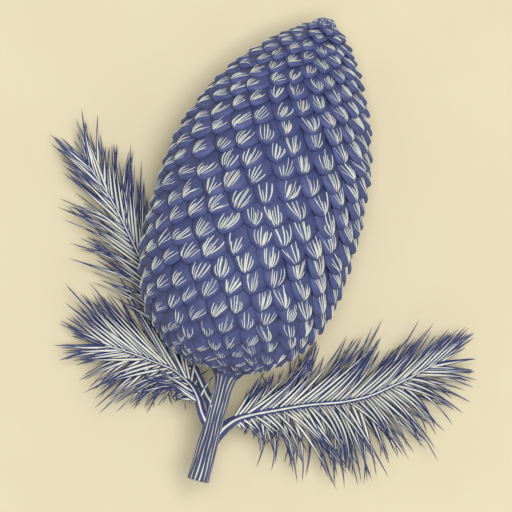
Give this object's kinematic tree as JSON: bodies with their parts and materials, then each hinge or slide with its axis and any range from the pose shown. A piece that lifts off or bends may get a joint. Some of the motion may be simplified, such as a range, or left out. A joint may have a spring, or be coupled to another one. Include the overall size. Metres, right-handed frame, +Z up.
{
  "type": "pine cone on a cut sprig",
  "caption": "Large closed evergreen cone with overlapping scales, on a cut stem with sprays of short needles, lying on its side.",
  "frame": {"origin": "on the surface that the sprig lies on, below the middle of the whole sprig's box", "axes": "+Z up from the surface; +Y towards the cone's tip, with the cone leaning towards +X; +X towards the right spray"},
  "size_m": [0.167, 0.1824, 0.0804],
  "materials": {
    "scales": "matte violet-blue scales with pale fibre ridges",
    "bark": "rough dark bark with pale lengthwise ridges",
    "needles": "satin blue needles with a pale middle line"
  },
  "bodies": {
    "root": {"cone": "scales", "stem": "bark", "spray_right": "needles", "spray_lower_left": "needles", "spray_upper_left": "needles"}
  },
  "joints": []
}
